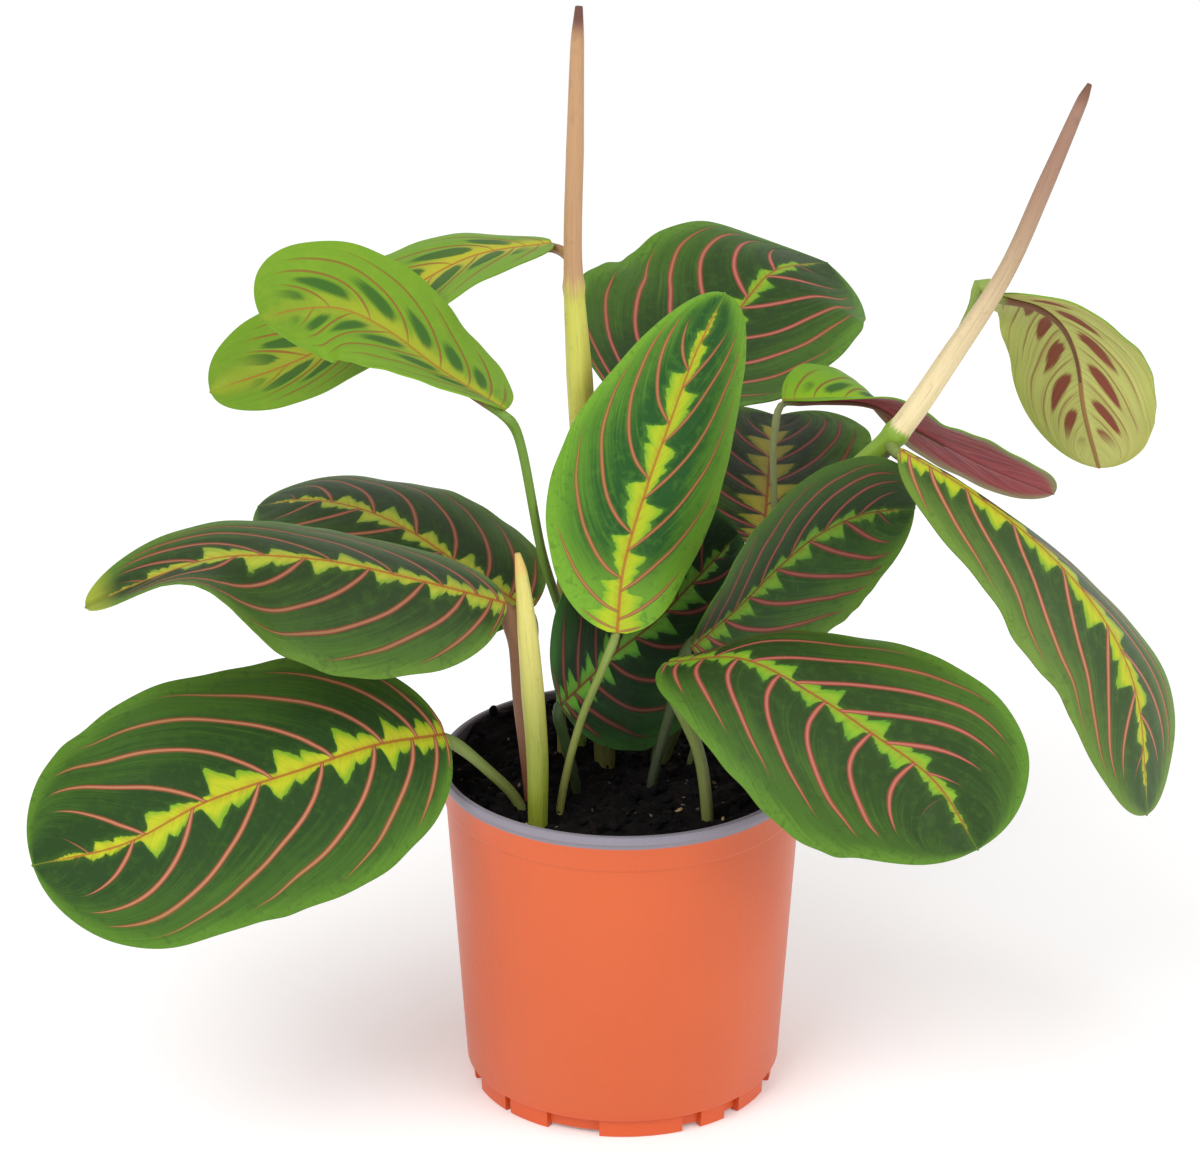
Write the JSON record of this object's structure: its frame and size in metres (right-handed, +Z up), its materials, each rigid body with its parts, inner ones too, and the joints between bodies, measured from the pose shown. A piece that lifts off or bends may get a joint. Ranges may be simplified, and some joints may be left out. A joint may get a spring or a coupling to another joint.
{
  "type": "potted prayer plant",
  "caption": "Low prayer plant with patterned oval leaves on slim stalks, standing in soil in a thin round plastic nursery pot.",
  "frame": {"origin": "under the middle of the whole plant's box, on the surface that the pot stands on", "axes": "+Z up along the pot's axis, +X to the right and -Y towards the front of the plant"},
  "size_m": [0.3656, 0.2558, 0.3681],
  "materials": {
    "pot_plastic": "thin satin terracotta-coloured plastic outside, grey at the rim and inside",
    "soil": "moist near-black peat soil, rough and lumpy",
    "dry_stem": "dry pinkish-tan stalk turning yellow-green lower down",
    "cane": "cream and tan cane, pinkish at its top, satin",
    "green_sheath": "pale yellow to olive-green leaf sheath, satin",
    "mature_leaf": "velvety satin dark green blade with salmon veins and a lime band along the rib",
    "young_leaf": "satin light green blade with dark blotches and thin red-brown veins"
  },
  "bodies": {
    "root": {"pot": "pot_plastic", "soil": "soil", "stem_tall": "dry_stem", "cane_right": "cane", "sheath_front": "green_sheath", "leaf_low_left": "mature_leaf", "leaf_mid_left": "mature_leaf", "leaf_back_left": "mature_leaf", "leaf_top_back": "mature_leaf", "leaf_centre": "mature_leaf", "leaf_low_centre": "mature_leaf", "leaf_mid_right": "mature_leaf", "leaf_low_right": "mature_leaf", "leaf_far_right": "mature_leaf", "leaf_shade": "mature_leaf", "young_leaf_left": "young_leaf", "young_leaf_far_left": "young_leaf", "young_leaf_right": "young_leaf", "young_leaf_centre": "young_leaf"}
  },
  "joints": []
}
